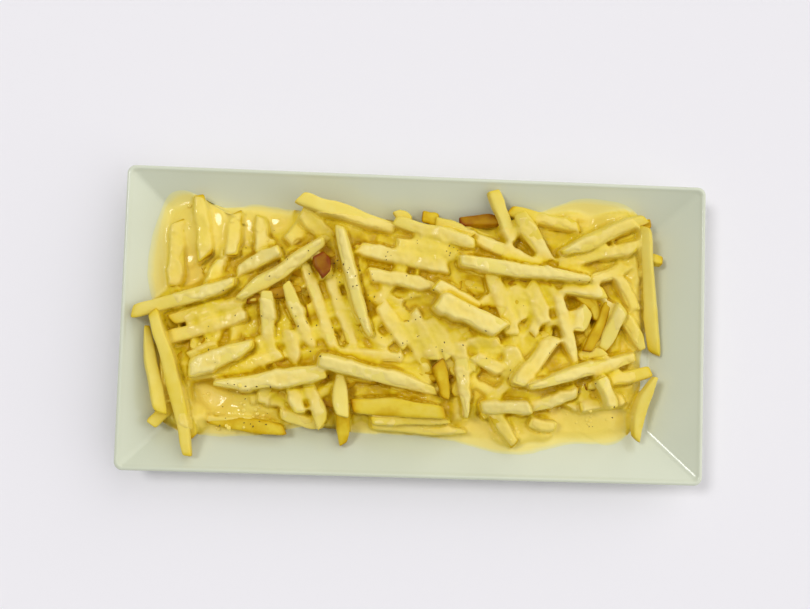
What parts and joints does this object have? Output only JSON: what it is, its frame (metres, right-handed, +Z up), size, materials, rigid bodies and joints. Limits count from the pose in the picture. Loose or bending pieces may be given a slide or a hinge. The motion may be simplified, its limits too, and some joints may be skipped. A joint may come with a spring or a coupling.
{
  "type": "cheese fries on a plate",
  "caption": "Heap of cheese fries in cheese sauce on a long rectangular white porcelain platter with sloping sides.",
  "frame": {"origin": "centre of the platter's foot on the table", "axes": "+X along the platter's length, +Y across it, +Z up"},
  "size_m": [0.35, 0.181, 0.0459],
  "materials": {
    "glazed_porcelain": "clear gloss glaze over white porcelain",
    "cheese_sauce": "warm pourable cheese sauce, wet gloss",
    "fried_potato": "pale fried potato under a thin coat of cheese sauce"
  },
  "bodies": {
    "root": {"dish": "glazed_porcelain", "cheese_sauce": "cheese_sauce", "fries": "fried_potato"}
  },
  "joints": []
}
